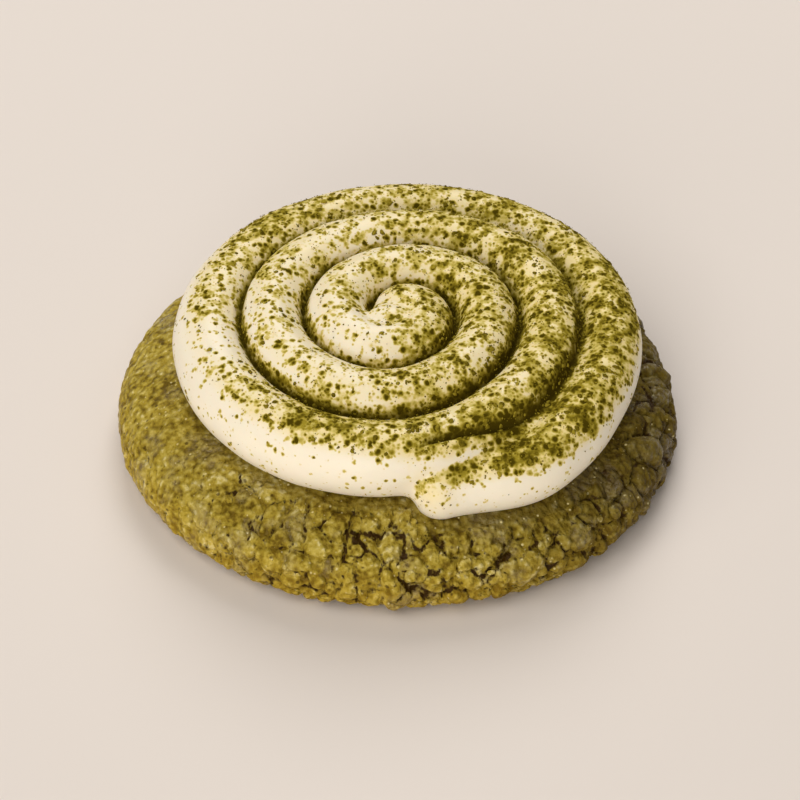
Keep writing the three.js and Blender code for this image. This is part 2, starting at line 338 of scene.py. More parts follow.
def painted_shade(points):
    """How much painted shade the dough gets: most at the right, where it stands in for the shade on that
    side, a painted contact shadow in the band that borders the cream, and some higher up under the cream's
    overhang."""
    angle = np.arctan2(points[:, 1], points[:, 0])
    # Painted shade on the right, a painted contact shadow beside the cream, and painted shade high up under
    # its overhang
    right = smoothstep(0.52, 0.98, nearness(angle, SHADED_SIDE_ANGLE))
    off = np.hypot(points[:, 0], points[:, 1]) - outermost_radius(angle) - 0.42 * ROPE_WIDTH
    damp_and_contact_shade = 0.5 * smoothstep(CONTACT_SHADOW_WIDTH, 0, off)
    return np.clip(right + damp_and_contact_shade + 0.2 * smoothstep(9 * MM, 17 * MM, points[:, 2]), 0, 1)


def crumb_relief(points, slope):
    """Height over the smooth skin, how far off the next crack's edge is in mm, and a tint."""
    places, sizes, heights = crumb_places()
    uneven = warped(points, 3.6 * MM, 1.1 * MM)
    gaps = np.linalg.norm(uneven[:, None, :] - places[None], axis=2) - sizes
    nearest = np.argmin(gaps, axis=1)
    two = np.partition(gaps, 1, axis=1)[:, :2]
    gap = (two[:, 1] - two[:, 0]) / 2
    inside = np.minimum(gap / CRACK_WIDTH, 1)
    crumb = heights[nearest] * (1 - (1 - inside) ** 2) * 0.6 - 0.3 * CRACK_DEPTH * (1 - inside) ** 2

    # Lumps are drawn out towards the rim, so they are laid out on an unrolled skin
    angle = np.arctan2(points[:, 1], points[:, 0])
    along = SKIN_RISE * slope
    stretch = mix(LUMP_STRETCH, CALM_STRETCH, smoothstep(0.3, 0.8, nearness(angle, CALM_ANGLE)))
    unrolled = np.stack([SKIN_RADIUS * np.cos(angle), SKIN_RADIUS * np.sin(angle), stretch * along], axis=1)
    lump_near, lump_gap = cells(warped(unrolled, 3 * MM, 1.0 * MM), LUMP_SIZE)
    calm = calmness(points)
    craggy = cragginess(points)
    skin = smoothstep(0, 0.35, craggy)
    torn = np.clip([noise.noise(p) for p in points / TORN_PATCH + 3], -0.45, 0.45)
    width = TORN_WIDTH * (torn - 0.7 * calm)
    old_width = TORN_WIDTH * (-torn - 0.1 - 0.7 * calm)
    edge = np.minimum(0.5 * LUMP_SIZE * lump_gap - width, gap - old_width) + (1 - skin) * MM
    lump = LUMP_HEIGHT * (0.5 - lump_near**2) * (1 - 0.6 * calm)

    grain_near, _ = cells(warped(points, 1 * MM, 0.2 * MM) + 7, GRAIN_SIZE)
    grain = GRAIN_HEIGHT * (0.5 - grain_near**2) * (1 - 0.4 * calm)
    depth = TORN_DEPTH * np.clip(0.45 - edge / TORN_SLOPE, 0, 1)
    relief = crumb * craggy * (1 - 0.4 * calm) + (lump + grain - depth) * skin
    return relief, edge / MM, mix(scatter(nearest, 13), 0.5, calm)


# ---------------------------------------------------------------- meshes


def start_piece():
    bpy.ops.object.select_all(action="DESELECT")


def read_points(mesh, kind="co"):
    values = np.empty(len(mesh.vertices) * 3)
    mesh.vertices.foreach_get(kind, values)
    return values.reshape(-1, 3)


def write_points(mesh, points):
    mesh.vertices.foreach_set("co", points.ravel())
    mesh.update()


def write_values(mesh, name, values):
    attribute = mesh.attributes.new(name, "FLOAT", "POINT")
    attribute.data.foreach_set("value", np.asarray(values, np.float32))


def turn_faces_out():
    bpy.ops.object.mode_set(mode="EDIT")
    bpy.ops.mesh.select_all(action="SELECT")
    bpy.ops.mesh.normals_make_consistent(inside=False)
    bpy.ops.object.mode_set(mode="OBJECT")


def apply_modifier(piece, kind, **settings):
    modifier = piece.modifiers.new(kind.title(), kind)
    for name, value in settings.items():
        setattr(modifier, name, value)
    bpy.ops.object.modifier_apply(modifier=modifier.name)


def finish_piece(piece, name, material, slot, *nodes):
    piece.name = name
    piece.data.name = name
    piece.data.materials.clear()
    piece.data.materials.append(material)
    start_piece()
    piece.select_set(True)
    bpy.context.view_layer.objects.active = piece
    bpy.ops.object.shade_smooth()
    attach(piece, "root")
    if nodes:
        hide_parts(*nodes)


def ball_points(subdivisions, roughness, variants, seed):
    """Corners and triangles of lumpy balls of radius 1, modelled once each and copied later."""
    shapes = []
    for variant in range(variants):
        start_piece()
        bpy.ops.mesh.primitive_ico_sphere_add(subdivisions=subdivisions, radius=1)
        ball = bpy.context.object
        points = read_points(ball.data)
        push = [noise.noise(Vector(p) * 1.3 + Vector((seed, variant * 9.1, 0))) for p in points]
        points *= 1 + roughness * np.array(push)[:, None]
        faces = np.array([list(f.vertices) for f in ball.data.polygons])
        bpy.data.meshes.remove(ball.data)
        shapes.append((points, faces))
    return shapes


def scatter_balls(name, shapes, places, normals, sizes, flatness, sink, chance):
    """One mesh of many small balls, each turned and sized by chance and half sunk in its place."""
    count = len(places)
    spin = chance.uniform(0, TURN, count)
    guide = np.where(np.abs(normals[:, 2:]) < 0.9, (0, 0, 1), (1, 0, 0))
    across = unit(np.cross(normals, guide))
    along = np.cross(normals, across)
    side = across * np.cos(spin)[:, None] + along * np.sin(spin)[:, None]
    other = np.cross(normals, side)
    stretch = chance.uniform(0.75, 1.3, count)
    flat = flatness * chance.uniform(0.8, 1.2, count)
    chosen = chance.integers(0, len(shapes), count)
    centres = places + normals * (sizes * (flat - sink))[:, None]
    corners, faces, shades = [], [], []
    first = 0
    for variant, (points, triangles) in enumerate(shapes):
        who = np.nonzero(chosen == variant)[0]
        if not len(who):
            continue
        size = sizes[who, None, None]
        made = centres[who, None, :] + size * (
            points[None, :, 0:1] * stretch[who, None, None] * side[who, None, :]
            + points[None, :, 1:2] / stretch[who, None, None] * other[who, None, :]
            + points[None, :, 2:3] * flat[who, None, None] * normals[who, None, :]
        )
        corners.append(made.reshape(-1, 3))
        offset = first + np.arange(len(who))[:, None, None] * len(points)
        faces.append((triangles[None] + offset).reshape(-1, 3))
        shades.append(np.repeat(chance.uniform(0, 1, len(who)), len(points)))
        first += len(who) * len(points)
    mesh = bpy.data.meshes.new(name)
    mesh.from_pydata(np.concatenate(corners), [], np.concatenate(faces))
    write_values(mesh, "shade", np.concatenate(shades))
    piece = bpy.data.objects.new(name, mesh)
    bpy.context.scene.collection.objects.link(piece)
    return piece


def corner_table(mesh):
    """Places and normals of a mesh's corners and the area around each. A ball's corners come in
    the same order in every run, which its faces don't."""
    areas, sides = np.empty(len(mesh.polygons)), np.empty(len(mesh.polygons), int)
    corners = np.empty(len(mesh.loops), int)
    mesh.polygons.foreach_get("area", areas)
    mesh.polygons.foreach_get("loop_total", sides)
    mesh.loops.foreach_get("vertex_index", corners)
    around = np.bincount(corners, np.repeat(areas / sides, sides), len(mesh.vertices))
    return read_points(mesh), read_points(mesh, "normal"), around


# ---------------------------------------------------------------- materials


def srgb(code):
    """Linear colour of an sRGB hex code."""
    parts = [int(code[i : i + 2], 16) / 255 for i in (1, 3, 5)]
    return (*[c / 12.92 if c <= 0.04045 else ((c + 0.055) / 1.055) ** 2.4 for c in parts], 1)


def per(size):
    """Scale of a pattern on Object coordinates whose features are of that size."""
    return 1 / size


def new_material(name):
    material = bpy.data.materials.new(name)
    material.use_nodes = True
    tree = material.node_tree
    return material, tree, tree.nodes["Principled BSDF"]


def add_node(tree, kind, inputs=None, stops=None, **settings):
    """Adds a node, with settings, input values or links, and a ramp's stops."""
    made = tree.nodes.new(kind)
    for name, value in settings.items():
        setattr(made, name, value)
    for socket, value in (inputs or {}).items():
        if isinstance(value, bpy.types.NodeSocket):
            tree.links.new(value, made.inputs[socket])
        else:
            made.inputs[socket].default_value = value
    if stops:
        elements = made.color_ramp.elements
        while len(elements) < len(stops):
            elements.new(1)
        for element, (place, colour) in zip(elements, stops):
            element.position = place
            element.color = colour
    return made


def baked_dough(sizes):
    """Soft-baked matcha dough: a grainy olive crumb, paler on its grains with partly painted shading of the
    granules and painted highlights on the palest, with painted glints, painted shade in its pores and cracks
    and at the right and beside the cream, browned at the rim, with moist greyer patches that glisten."""
    material, tree, shader = new_material("soft_baked_matcha_dough")
    place = add_node(tree, "ShaderNodeTexCoord").outputs["Object"]
    openness = add_node(tree, "ShaderNodeAttribute", attribute_name="openness").outputs["Fac"]
    tint = add_node(tree, "ShaderNodeAttribute", attribute_name="tint").outputs["Fac"]
    broad = add_node(
        tree,
        "ShaderNodeTexNoise",
        {"Vector": place, "Scale": per(7 * MM), "Detail": 3, "Roughness": 0.55},
    )
    channels = add_node(tree, "ShaderNodeSeparateColor", {"Color": broad.outputs["Color"]})
    grain = add_node(
        tree,
        "ShaderNodeTexNoise",
        {"Vector": place, "Scale": per(1.4 * MM), "Detail": 4, "Roughness": 0.6},
    ).outputs["Fac"]
    granules = add_node(
        tree,
        "ShaderNodeTexVoronoi",
        {"Vector": place, "Scale": per(GRAIN_SIZE), "Smoothness": 0.3},
        feature="SMOOTH_F1",
    ).outputs["Distance"]
    level = add_node(
        tree,
        "ShaderNodeMath",
        {
            0: add_node(
                tree,
                "ShaderNodeMath",
                {0: broad.outputs["Fac"], 1: 0.5, 2: grain},
                operation="MULTIPLY_ADD",
            ).outputs[0],
            1: add_node(
                tree,
                "ShaderNodeMath",
                {0: tint, 1: 0.14, 2: -0.07},
                operation="MULTIPLY_ADD",
            ).outputs[0],
        },
        operation="ADD",
    ).outputs[0]
    # Paler in each granule's middle and darker at its edge: partly the grains' tone, partly painted shading
    # of the rounded granules
    beaded = add_node(
        tree, "ShaderNodeMath", {0: granules, 1: -0.42, 2: level}, operation="MULTIPLY_ADD"
    ).outputs[0]
    # The ramp's top stop is the palest grains: partly their own colour, partly painted highlights
    crumb = add_node(
        tree,
        "ShaderNodeValToRGB",
        {
            "Fac": add_node(
                tree, "ShaderNodeMapRange", {"Value": beaded, "From Min": 0.26, "From Max": 0.86}
            ).outputs[0]
        },
        stops=[
            (0.08, srgb(sizes.dough_dark)),
            (0.45, srgb(sizes.dough_colour)),
            (0.75, srgb(sizes.dough_light)),
            (0.92, srgb(sizes.grain_and_highlight_colour)),
        ],
    ).outputs["Color"]
    height = add_node(tree, "ShaderNodeSeparateXYZ", {0: place}).outputs["Z"]
    rim = add_node(
        tree,
        "ShaderNodeMapRange",
        {"Value": height, "From Min": 12 * MM, "From Max": 4 * MM, "To Max": 0.3},
    ).outputs[0]
    browned = add_node(
        tree,
        "ShaderNodeMix",
        {0: rim, 6: crumb, 7: srgb(sizes.rim_colour)},
        data_type="RGBA",
    ).outputs[2]
    moist = add_node(
        tree,
        "ShaderNodeMapRange",
        {"Value": channels.outputs["Green"], "From Min": 0.52, "From Max": 0.62},
    ).outputs[0]
    damp_and_contact_shade = add_node(
        tree,
        "ShaderNodeMix",
        {
            0: add_node(tree, "ShaderNodeMath", {0: moist, 1: 0.25}, operation="MULTIPLY").outputs[0],
            6: browned,
            7: srgb(sizes.moist_colour),
        },
        data_type="RGBA",
    ).outputs[2]
    # Painted shade: the dark attribute mixes the dough towards the painted shade colour
    dark = add_node(tree, "ShaderNodeAttribute", attribute_name="dark").outputs["Fac"]
    shaded = add_node(
        tree,
        "ShaderNodeMix",
        {
            0: add_node(tree, "ShaderNodeMath", {0: dark, 1: 0.77}, operation="MULTIPLY").outputs[0],
            6: damp_and_contact_shade,
            7: srgb(sizes.painted_shade_colour),
        },
        data_type="RGBA",
    ).outputs[2]
    # Painted shade in the cracks: where a crack opens, the colour goes to the painted crack shade
    ragged = add_node(
        tree, "ShaderNodeMath", {0: grain, 1: -1.2, 2: openness}, operation="MULTIPLY_ADD"
    ).outputs[0]
    opened = add_node(
        tree, "ShaderNodeMapRange", {"Value": ragged, "From Min": -0.66, "From Max": -0.46}
    ).outputs[0]
    # Pores: rare cells get painted shade in their middles
    pits = add_node(tree, "ShaderNodeTexVoronoi", {"Vector": place, "Scale": per(1.7 * MM)}, feature="F1")
    rarity = add_node(tree, "ShaderNodeSeparateColor", {"Color": pits.outputs["Color"]}).outputs
    depth = add_node(
        tree,
        "ShaderNodeMath",
        {0: rarity["Red"], 1: 0.4, 2: pits.outputs["Distance"]},
        operation="MULTIPLY_ADD",
    ).outputs[0]
    # Painted glints: pale dots in rare cells that stand in for small highlights
    beads = add_node(tree, "ShaderNodeTexVoronoi", {"Vector": place, "Scale": per(1.1 * MM)}, feature="F1")
    chance = add_node(tree, "ShaderNodeSeparateColor", {"Color": beads.outputs["Color"]}).outputs["Green"]
    painted_glint_distance = add_node(
        tree, "ShaderNodeMath", {0: chance, 1: 0.5, 2: beads.outputs["Distance"]}, operation="MULTIPLY_ADD"
    ).outputs[0]
    glint = add_node(
        tree,
        "ShaderNodeMapRange",
        {"Value": painted_glint_distance, "From Min": 0.3, "From Max": 0.16, "To Max": 0.7},
    ).outputs[0]
    glinting = add_node(
        tree,
        "ShaderNodeMix",
        {0: glint, 6: shaded, 7: srgb(sizes.painted_glint_colour)},
        data_type="RGBA",
    ).outputs[2]
    whole = add_node(
        tree,
        "ShaderNodeMapRange",
        {"Value": depth, "From Min": 0.2, "From Max": 0.32, "To Min": 0.3},
    ).outputs[0]
    intact = add_node(tree, "ShaderNodeMath", {0: opened, 1: whole}, operation="MULTIPLY").outputs[0]
    colour = add_node(
        tree,
        "ShaderNodeMix",
        {0: intact, 6: srgb(sizes.painted_crack_shade), 7: glinting},
        data_type="RGBA",
    ).outputs[2]
    tree.links.new(colour, shader.inputs["Base Color"])
    wet = add_node(tree, "ShaderNodeMath", {0: intact, 1: moist}, operation="MULTIPLY").outputs[0]
    sheen = add_node(tree, "ShaderNodeMapRange", {"Value": wet, "To Min": 0.1, "To Max": 0.45}).outputs[0]
    tree.links.new(sheen, shader.inputs["Specular IOR Level"])
    gloss = add_node(
        tree, "ShaderNodeMapRange", {"Value": moist, "To Min": 0.5, "To Max": 0.26}
    ).outputs[0]
    tree.links.new(gloss, shader.inputs["Roughness"])
    bump = add_node(
        tree,
        "ShaderNodeBump",
        {
            "Height": grain,
            "Distance": 0.7 * MM,
            "Strength": 1,
            "Normal": add_node(
                tree,
                "ShaderNodeBump",
                {"Height": granules, "Distance": 0.75 * MM, "Strength": 1},
                invert=True,
            ).outputs[0],
        },
    ).outputs[0]
    tree.links.new(bump, shader.inputs["Normal"])
    return material


def whipped_cream(sizes):
    """Piped cream: smooth satin ivory that light enters a little, stained yellow-green where matcha lies on
    it and finely dotted with it, and darkened in its grooves partly by powder and partly by painted shade."""
    material, tree, shader = new_material("piped_whipped_cream")
    place = add_node(tree, "ShaderNodeTexCoord").outputs["Object"]
    dust = add_node(tree, "ShaderNodeAttribute", attribute_name="dust").outputs["Fac"]
    stain = add_node(tree, "ShaderNodeAttribute", attribute_name="stain").outputs["Fac"]
    blots = add_node(
        tree,
        "ShaderNodeTexNoise",
        {"Vector": place, "Scale": per(2.2 * MM), "Detail": 3, "Roughness": 0.5},
    ).outputs["Fac"]
    thick = add_node(tree, "ShaderNodeMath", {0: blots, 1: 0.8, 2: dust}, operation="MULTIPLY_ADD").outputs[0]
    drift = add_node(
        tree,
        "ShaderNodeTexNoise",
        {"Vector": place, "Scale": per(5 * MM), "Detail": 2, "Roughness": 0.5},
    ).outputs["Fac"]
    drifted = add_node(
        tree, "ShaderNodeMath", {0: drift, 1: 0.6, 2: thick}, operation="MULTIPLY_ADD"
    ).outputs[0]
    for size, strength in ((1.5 * MM, 0.55), (0.8 * MM, 0.35)):
        dots = add_node(tree, "ShaderNodeTexVoronoi", {"Vector": place, "Scale": per(size)}, feature="F1")
        chance = add_node(tree, "ShaderNodeSeparateColor", {"Color": dots.outputs["Color"]}).outputs["Red"]
        dot = add_node(
            tree,
            "ShaderNodeMapRange",
            {"Value": dots.outputs["Distance"], "From Min": 0.55, "From Max": 0.05, "To Max": strength},
        ).outputs[0]
        drifted = add_node(
            tree, "ShaderNodeMath", {0: dot, 1: chance, 2: drifted}, operation="MULTIPLY_ADD"
        ).outputs[0]
    stained = add_node(
        tree, "ShaderNodeMath", {0: stain, 1: 0.07, 2: drifted}, operation="MULTIPLY_ADD"
    ).outputs[0]
    # Grooves darken towards the groove colour: partly powder lying there, partly painted shade
    groove = add_node(tree, "ShaderNodeAttribute", attribute_name="groove").outputs["Fac"]
    level = add_node(
        tree, "ShaderNodeMath", {0: groove, 1: 0.28, 2: stained}, operation="MULTIPLY_ADD"
    ).outputs[0]
    dotted = add_node(
        tree,
        "ShaderNodeMapRange",
        {"Value": level, "From Min": 0.67, "From Max": 1.1},
    ).outputs[0]
    dusted = add_node(
        tree,
        "ShaderNodeValToRGB",
        {"Fac": dotted},
        stops=[
            (0.0, srgb(sizes.film_colour)),
            (0.3, srgb(sizes.stain_colour)),
            (0.52, srgb(sizes.powder_light)),
            (0.75, srgb(sizes.powder_colour)),
            (1.0, srgb(sizes.powder_dark)),
        ],
    ).outputs["Color"]
    film = add_node(tree, "ShaderNodeAttribute", attribute_name="film").outputs["Fac"]
    filmed = add_node(
        tree,
        "ShaderNodeMix",
        {0: film, 6: srgb(sizes.cream_colour), 7: srgb(sizes.film_colour)},
        data_type="RGBA",
    ).outputs[2]
    spotted = add_node(
        tree,
        "ShaderNodeMix",
        {
            0: add_node(tree, "ShaderNodeMapRange", {"Value": dotted, "From Max": 0.25}).outputs[0],
            6: filmed,
            7: dusted,
        },
        data_type="RGBA",
    ).outputs[2]
    colour = add_node(
        tree,
        "ShaderNodeMix",
        {
            0: add_node(
                tree,
                "ShaderNodeMapRange",
                {"Value": groove, "From Min": 0.4, "From Max": 0.95, "To Max": 0.85},
            ).outputs[0],
            6: spotted,
            7: srgb(sizes.groove_powder_and_shade_colour),
        },
        data_type="RGBA",
    ).outputs[2]
    tree.links.new(colour, shader.inputs["Base Color"])
    rough = add_node(
        tree, "ShaderNodeMapRange", {"Value": dotted, "To Min": 0.42, "To Max": 0.95}
    ).outputs[0]
    tree.links.new(rough, shader.inputs["Roughness"])
    whipped = add_node(
        tree,
        "ShaderNodeTexNoise",
        {"Vector": place, "Scale": per(3 * MM), "Detail": 2, "Roughness": 0.5},
    ).outputs["Fac"]
    bump = add_node(
        tree, "ShaderNodeBump", {"Height": whipped, "Distance": 0.25 * MM, "Strength": 0.35}
    ).outputs[0]
    tree.links.new(bump, shader.inputs["Normal"])
    shader.inputs["Subsurface Weight"].default_value = 0.15
    shader.inputs["Subsurface Radius"].default_value = (1.0, 0.7, 0.4)
    shader.inputs["Subsurface Scale"].default_value = 1.2 * MM
    sheen = add_node(
        tree, "ShaderNodeMapRange", {"Value": dotted, "From Max": 0.4, "To Min": 0.4, "To Max": 0.03}
    ).outputs[0]
    tree.links.new(sheen, shader.inputs["Specular IOR Level"])
    return material


def green_tea_powder(sizes):
    """Sifted matcha: dead matte, clumped, dark where thick and yellower where thin."""
    material, tree, shader = new_material("sifted_matcha_powder")
    shade = add_node(tree, "ShaderNodeAttribute", attribute_name="shade").outputs["Fac"]
    place = add_node(tree, "ShaderNodeTexCoord").outputs["Object"]
    grain = add_node(
        tree,
        "ShaderNodeTexNoise",
        {"Vector": place, "Scale": per(0.4 * MM), "Detail": 2, "Roughness": 0.6},
    ).outputs["Fac"]
    blend = add_node(
        tree, "ShaderNodeMath", {0: shade, 1: 0.6, 2: grain}, operation="MULTIPLY_ADD"
    ).outputs[0]
    colour = add_node(
        tree,
        "ShaderNodeValToRGB",
        {"Fac": add_node(tree, "ShaderNodeMath", {0: blend, 1: 0.74}, operation="MULTIPLY").outputs[0]},
        stops=[
            (0.2, srgb(sizes.powder_dark)),
            (0.5, srgb(sizes.powder_colour)),
            (0.8, srgb(sizes.powder_light)),
        ],
    ).outputs["Color"]
    tree.links.new(colour, shader.inputs["Base Color"])
    shader.inputs["Roughness"].default_value = 0.95
    shader.inputs["Specular IOR Level"].default_value = 0.05
    return material


def studio_paper():
    """Seamless pale paper, matte all over."""
    material, tree, shader = new_material("studio_paper")
    shader.inputs["Base Color"].default_value = srgb("#E9E1DA")
    shader.inputs["Roughness"].default_value = 1
    shader.inputs["Specular IOR Level"].default_value = 0
    return material


# ---------------------------------------------------------------- properties


class CookieSizes(bpy.types.PropertyGroup):
    """Sizes and colours of the cookie, the cream and the powder."""

    sectors: bpy.props.IntProperty(
        name="Sectors", description="Corners of the cookie round its rim", default=900
    )
    rings: bpy.props.IntProperty(name="Rings", description="Rings of the cookie's mesh", default=104)
    loose_crumbs: bpy.props.IntProperty(
        name="Loose crumbs", description="Small crumbs that stand on the skin", default=45
    )
    cream_detail: bpy.props.FloatProperty(
        name="Cream detail", description="Voxel of the cream's mesh", default=0.525 * MM, unit="LENGTH"
    )
    small_clumps: bpy.props.IntProperty(
        name="Small clumps", description="Clumps of powder beside the largest ones", default=2300
    )
    grains: bpy.props.IntProperty(name="Grains", description="Fine grains of powder", default=7500)
    dough_colour: bpy.props.StringProperty(
        name="Dough", description="sRGB of the baked dough", default="#AE9732"
    )
    dough_light: bpy.props.StringProperty(
        name="Light dough", description="sRGB of its paler crumbs", default="#CCB757"
    )
    dough_dark: bpy.props.StringProperty(
        name="Dark dough", description="sRGB of its darker crumbs", default="#6E580C"
    )
    # Palest grains: partly their own colour, partly painted highlights
    grain_and_highlight_colour: bpy.props.StringProperty(
        name="Grains", description="sRGB of its palest grains", default="#E4D48C"
    )
    rim_colour: bpy.props.StringProperty(
        name="Rim", description="sRGB of the browned rim", default="#C0982A"
    )
    moist_colour: bpy.props.StringProperty(
        name="Moist dough", description="sRGB of its moist patches", default="#887A48"
    )
    # Colour of the painted glints, pale dots that stand in for small highlights
    painted_glint_colour: bpy.props.StringProperty(
        name="Glints", description="sRGB of its moist grains", default="#EDE0A2"
    )
    # Colour of the painted shade on the dough's right side and beside the cream
    painted_shade_colour: bpy.props.StringProperty(
        name="Darkest dough", description="sRGB of the dough where it baked darkest", default="#4A3A0A"
    )
    # Painted shade deep in the cracks and pores
    painted_crack_shade: bpy.props.StringProperty(
        name="Cracks", description="sRGB deep in the cracks", default="#3A2604"
    )
    cream_colour: bpy.props.StringProperty(
        name="Cream", description="sRGB of the cream", default="#FAF0DA"
    )
    film_colour: bpy.props.StringProperty(
        name="Film", description="sRGB of cream under the thinnest powder", default="#EFDA92"
    )
    stain_colour: bpy.props.StringProperty(
        name="Stain", description="sRGB of cream stained by powder", default="#D2BF66"
    )
    # Powder deep in the grooves, and painted shade there
    groove_powder_and_shade_colour: bpy.props.StringProperty(
        name="Grooves", description="sRGB of the powder deep in the grooves", default="#423606"
    )
    powder_colour: bpy.props.StringProperty(
        name="Powder", description="sRGB of the powder", default="#726314"
    )
    powder_dark: bpy.props.StringProperty(
        name="Dark powder", description="sRGB of thick powder", default="#4C4006"
    )
    powder_light: bpy.props.StringProperty(
        name="Light powder", description="sRGB of thin powder", default="#A2902C"
    )


# ---------------------------------------------------------------- operators


class COOKIE_OT_bake(bpy.types.Operator):
    """Bake the cookie: a domed body with craggy, cracked crumbs on its skin"""

    bl_idname = "cookie.bake"
    bl_label = "Bake cookie"

    def execute(self, context):
        sizes = context.scene.cookie_sizes
        start_piece()
        bpy.ops.mesh.primitive_uv_sphere_add(segments=sizes.sectors, ring_count=sizes.rings, radius=1)
        cookie = context.object
        ball = read_points(cookie.data)
        angle = np.arctan2(ball[:, 1], ball[:, 0])
        ring = np.rint(np.arccos(np.clip(-ball[:, 2], -1, 1)) / math.pi * sizes.rings)
        points, slope = on_rings(angle, ring, sizes.rings)
        write_points(cookie.data, points)
        turn_faces_out()
        normals = read_points(cookie.data, "normal")
        relief, openness, tint = crumb_relief(points, slope)
        off_bulge = np.arctan2(points[:, 1], points[:, 0]) - FRONT_BULGE_ANGLE
        bulge = np.exp(-((off_bulge / FRONT_BULGE_WIDTH) ** 2))
        points[:, :2] *= (1 + FRONT_BULGE / WIDE * bulge)[:, None]
        points += normals * relief[:, None] + COIL_CENTRE
        points[:, 2] = np.maximum(points[:, 2], 0)
        write_points(cookie.data, points)
        write_values(cookie.data, "openness", openness)
        write_values(cookie.data, "tint", tint)
        # The dark attribute holds the painted shade
        write_values(cookie.data, "dark", painted_shade(points - COIL_CENTRE))
        finish_piece(cookie, "baked_cookie", baked_dough(sizes), "baked_dough", "cookie")
        return {"FINISHED"}


def on_rings(angle, ring, rings):
    """Places of the ball's rings on the cookie: few on the underside and the crown, many between."""
    slopes = np.radians((-89, -62, 47, 90))
    slope = np.interp(ring, (UNDER_RINGS, FOOT_RINGS, rings - CROWN_RINGS, rings), slopes)
    points = on_skin(angle, slope)
    underside = ring < UNDER_RINGS
    points[underside, :2] *= (ring[underside] / UNDER_RINGS)[:, None]
    points[underside, 2] = 0
    return points, slope


class COOKIE_OT_crumble(bpy.types.Operator):
    """Scatter small baked crumbs over the cookie's skin"""

    bl_idname = "cookie.crumble"
    bl_label = "Scatter crumbs"

    def execute(self, context):
        sizes = context.scene.cookie_sizes
        chance = np.random.default_rng(11)
        cookie = bpy.data.objects["baked_cookie"]
        corners, normals, areas = corner_table(cookie.data)
        local = corners - COIL_CENTRE
        weight = areas * smoothstep(0.3, 0.9, cragginess(local)) * (1 - calmness(local))
        weight *= smoothstep(4 * MM, 8 * MM, corners[:, 2])
        chosen = chance.choice(len(areas), sizes.loose_crumbs, p=weight / weight.sum(), replace=False)
        radii = mix(0.6 * MM, 1.5 * MM, chance.uniform(0, 1, len(chosen)) ** 2)
        crumbs = scatter_balls(
            "baked_crumbs",
            ball_points(subdivisions=4, roughness=0.4, variants=8, seed=3.3),
            corners[chosen],
            normals[chosen],
            radii,
            flatness=0.7,
            sink=0.5,
            chance=chance,
        )
        write_values(crumbs.data, "openness", np.full(len(crumbs.data.vertices), 4))
        shade = np.empty(len(crumbs.data.vertices))
        crumbs.data.attributes["shade"].data.foreach_get("value", shade)
        write_values(crumbs.data, "tint", 0.7 + 0.8 * shade)
        # The crumbs get the same painted shade
        write_values(crumbs.data, "dark", painted_shade(read_points(crumbs.data) - COIL_CENTRE))
        finish_piece(crumbs, "baked_crumbs", bpy.data.materials["soft_baked_matcha_dough"], "baked_dough")
        return {"FINISHED"}


class COOKIE_OT_pipe(bpy.types.Operator):
    """Pipe the rope of cream in its spiral, with turns that run together"""

    bl_idname = "cookie.pipe"
    bl_label = "Pipe cream"

    def execute(self, context):
        sizes = context.scene.cookie_sizes
        start_piece()
        bpy.ops.mesh.primitive_uv_sphere_add(segments=ROPE_SIDES, ring_count=ROPE_RINGS, radius=1)
        rope = context.object
        ball = read_points(rope.data)
        ring = np.rint(np.arccos(np.clip(ball[:, 2], -1, 1)) / math.pi * ROPE_RINGS).astype(int)
        centre, side, up = rope_rings()
        around = np.arctan2(ball[:, 1], ball[:, 0])[:, None]
        points = centre[ring] + side[ring] * np.sin(around) + up[ring] * np.cos(around)
        write_points(rope.data, points)
        turn_faces_out()
        bpy.ops.mesh.primitive_uv_sphere_add(segments=32, ring_count=20, radius=1)
        bulb = context.object
        bulb_middle = np.array((*BULB_PLACE, MIDDLE_HEIGHT))
        write_points(bulb.data, read_points(bulb.data) * BULB_SIZE + bulb_middle)
        rope.select_set(True)
        context.view_layer.objects.active = rope
        bpy.ops.object.join()
        apply_modifier(rope, "REMESH", mode="VOXEL", voxel_size=sizes.cream_detail, use_smooth_shade=True)
        apply_modifier(rope, "SMOOTH", factor=0.5, iterations=2)
        away = np.linalg.norm(read_points(rope.data) - MERGED_PLACE, axis=1)
        merged = rope.vertex_groups.new(name="merged")
        for corner in np.nonzero(away < MERGED_REACH)[0]:
            merged.add([int(corner)], 1 - (away[corner] / MERGED_REACH) ** 2, "REPLACE")
        apply_modifier(rope, "SMOOTH", factor=0.5, iterations=120, vertex_group="merged")
        rope.vertex_groups.clear()
        points = read_points(rope.data)
        wobble = np.array([noise.noise(p) for p in points / WOBBLE_SIZE])
        points += read_points(rope.data, "normal") * (wobble * WOBBLE_HEIGHT)[:, None]
        groove = np.maximum(1 - groove_gap(points) / GROOVE_WIDTH, 0)
        upward = smoothstep(-0.2, 0.2, read_points(rope.data, "normal")[:, 2])
        points[:, 2] -= GROOVE_DEPTH * groove**1.5 * upward
        points[:, 2] = np.maximum(points[:, 2], dome_height(points) + 0.05 * MM)
        write_points(rope.data, points + COIL_CENTRE)
        turn_faces_out()
        finish_piece(rope, "piped_cream", whipped_cream(sizes), "piped_cream", "cream_spiral")
        return {"FINISHED"}


